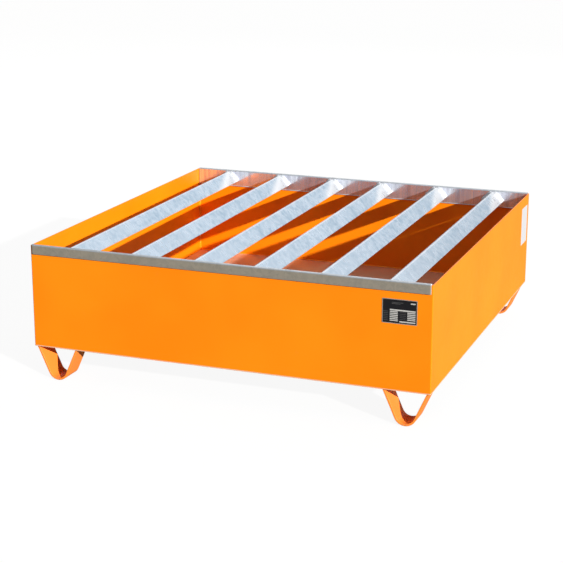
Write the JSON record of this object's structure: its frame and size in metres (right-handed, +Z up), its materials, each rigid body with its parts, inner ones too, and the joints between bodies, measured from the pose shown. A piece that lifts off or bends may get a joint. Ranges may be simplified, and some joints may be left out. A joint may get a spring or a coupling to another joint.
{
  "type": "spill containment pallet",
  "caption": "Square open steel sump tray on bent flat-bar feet, with a lift-out galvanised frame of ridge-up angle bars that carries drums above the sump.",
  "frame": {"origin": "on the ground under the middle of the tray, at the bottom centre of the whole object's box", "axes": "+Z up; X along the front with +X to the right; the support bars run along Y; the front face with the nameplate faces -Y"},
  "size_m": [1.2003, 1.208, 0.407],
  "materials": {
    "tray_paint": "semi-gloss orange powder coat",
    "foot_paint": "semi-gloss orange powder coat, scuffed where the foot meets the ground",
    "seam_paint": "powder coat over weld beads",
    "rail_galvanised": "galvanised, satin with faint spangle",
    "bar_galvanised": "galvanised, satin with faint spangle",
    "weld_galvanised": "zinc-coated weld bead",
    "nameplate_black": "black anodised with bare border and blank data fields",
    "label_white": "plain white film label"
  },
  "bodies": {
    "tray": {"floor_sheet": "tray_paint", "front_wall": "tray_paint", "rear_wall": "tray_paint", "left_wall": "tray_paint", "right_wall": "tray_paint", "corner_welds": "seam_paint", "floor_welds": "seam_paint", "foot_front_left": "foot_paint", "foot_front_right": "foot_paint", "foot_rear_left": "foot_paint", "foot_rear_right": "foot_paint", "foot_welds": "seam_paint", "nameplate": "nameplate_black", "side_label": "label_white"},
    "support_frame": {"front_rail_top": "rail_galvanised", "front_rail_flange": "rail_galvanised", "front_rail_plate": "rail_galvanised", "rear_rail_top": "rail_galvanised", "rear_rail_flange": "rail_galvanised", "rear_rail_plate": "rail_galvanised", "support_bar_1": "bar_galvanised", "support_bar_2": "bar_galvanised", "support_bar_3": "bar_galvanised", "support_bar_4": "bar_galvanised", "support_bar_5": "bar_galvanised", "support_bar_6": "bar_galvanised", "front_bar_welds": "weld_galvanised", "rear_bar_welds": "weld_galvanised"}
  },
  "joints": [
    {"name": "support_frame_lift", "type": "slide", "parent": "tray", "child": "support_frame", "axis": [0, 0, 1], "range_m": [0, 0.3]}
  ]
}
